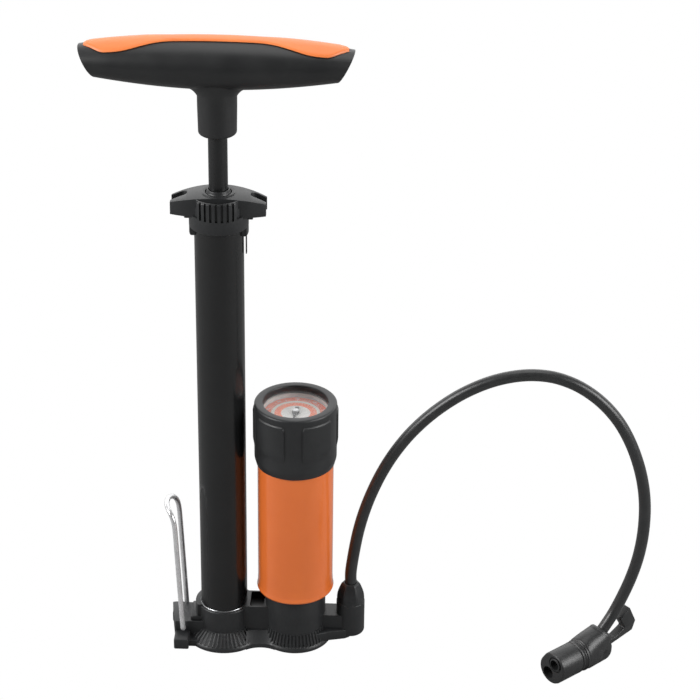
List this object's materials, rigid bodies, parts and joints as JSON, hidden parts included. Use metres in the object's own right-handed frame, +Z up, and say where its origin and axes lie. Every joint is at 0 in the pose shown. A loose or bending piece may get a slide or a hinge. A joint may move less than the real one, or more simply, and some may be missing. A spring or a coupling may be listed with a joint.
{
  "type": "hand inflation pump",
  "caption": "Upright hand pump for balls and tyres: barrel with T-handle, orange air canister with a pressure gauge, folding wire stirrup, and a hose with a two-port lever head.",
  "frame": {"origin": "on the floor, on the axis of the pump barrel", "axes": "+Z up along the barrel, +X from the barrel towards the air canister, -Y towards the front"},
  "size_m": [0.3529, 0.082, 0.4132],
  "materials": {
    "black_plastic": "fine matte moulded",
    "grip_black": "satin soft-touch",
    "orange_grip": "satin soft-touch",
    "black_enamel": "satin",
    "orange_enamel": "gloss",
    "white_plastic": "satin",
    "acetal": "satin",
    "steel": "satin",
    "bright_wire": "polished",
    "brass": "turned",
    "rubber_black": "matte",
    "hose_rubber": "satin",
    "clear_lens": "clear",
    "dial_print": "printed satin",
    "needle_black": "satin",
    "head_plastic": "satin moulded"
  },
  "bodies": {
    "base": {"base_casting": "black_plastic", "check_valve_seat": "brass", "check_valve_spring": "steel", "barrel_seal": "rubber_black", "barrel_tube": "black_enamel", "top_collar": "black_plastic", "rod_guide_bush": "black_plastic", "bush_seal": "rubber_black", "canister_seal": "rubber_black", "air_canister": "orange_enamel", "gauge_case": "white_plastic", "case_seal": "rubber_black", "gauge_cap": "black_plastic", "gauge_lens": "clear_lens", "gauge_dial": "dial_print", "bourdon_tube": "brass", "gauge_inlet": "brass", "movement_bridge": "brass", "hose_barb": "brass", "hose_ferrule": "black_plastic", "hose": "hose_rubber", "head_body": "head_plastic", "head_gasket": "rubber_black", "head_nozzle_cap": "head_plastic", "head_lever_pin": "steel"},
    "valve_ball": {"check_valve_ball": "steel"},
    "plunger": {"piston_head": "acetal", "piston_cup": "rubber_black", "piston_washer": "steel", "piston_nut": "steel", "rod_bumper": "rubber_black", "piston_rod": "black_enamel", "handle_screw": "steel"},
    "handle": {"handle_body": "grip_black", "handle_pad": "orange_grip"},
    "needle": {"needle_shaft": "steel", "gauge_needle": "needle_black"},
    "stirrup": {"foot_stirrup": "bright_wire"},
    "head_piston": {"head_plunger": "acetal"},
    "lever": {"head_lever": "head_plastic"}
  },
  "joints": [
    {"name": "plunger_slide", "type": "slide", "parent": "base", "child": "plunger", "axis": [0, 0, 1], "range_m": [-0.034, 0.218]},
    {"name": "handle_spin", "type": "hinge", "parent": "plunger", "child": "handle", "pos_m": [0, 0, 0.365], "axis": [0, 0, 1], "continuous": true},
    {"name": "stirrup_fold", "type": "hinge", "parent": "base", "child": "stirrup", "pos_m": [-0.0261, 0, 0.01], "axis": [0, -1, 0], "range_deg": [0, 88]},
    {"name": "lever_flip", "type": "hinge", "parent": "base", "child": "lever", "pos_m": [0.24371, -0.0192, 0.0095], "axis": [-0.6691, 0.7431, 0], "range_deg": [0, 90]},
    {"name": "head_piston_slide", "type": "slide", "parent": "base", "child": "head_piston", "axis": [-0.7431, -0.6691, 0], "range_m": [0, 0.0016]},
    {"name": "needle_sweep", "type": "hinge", "parent": "base", "child": "needle", "pos_m": [0.0464, 0, 0.16], "axis": [0, 0, -1], "range_deg": [0, 270], "stiffness_Nm_per_rad": 0.0005},
    {"name": "valve_ball_lift", "type": "slide", "parent": "base", "child": "valve_ball", "axis": [0, 0, -1], "range_m": [0, 0.0006], "stiffness_N_per_m": 100, "springref_m": -0.002, "deforming": ["check_valve_spring"]}
  ],
  "couplings": [
    {"joint": "head_piston_slide", "follows": "lever_flip", "m_per_rad": 0.001}
  ]
}
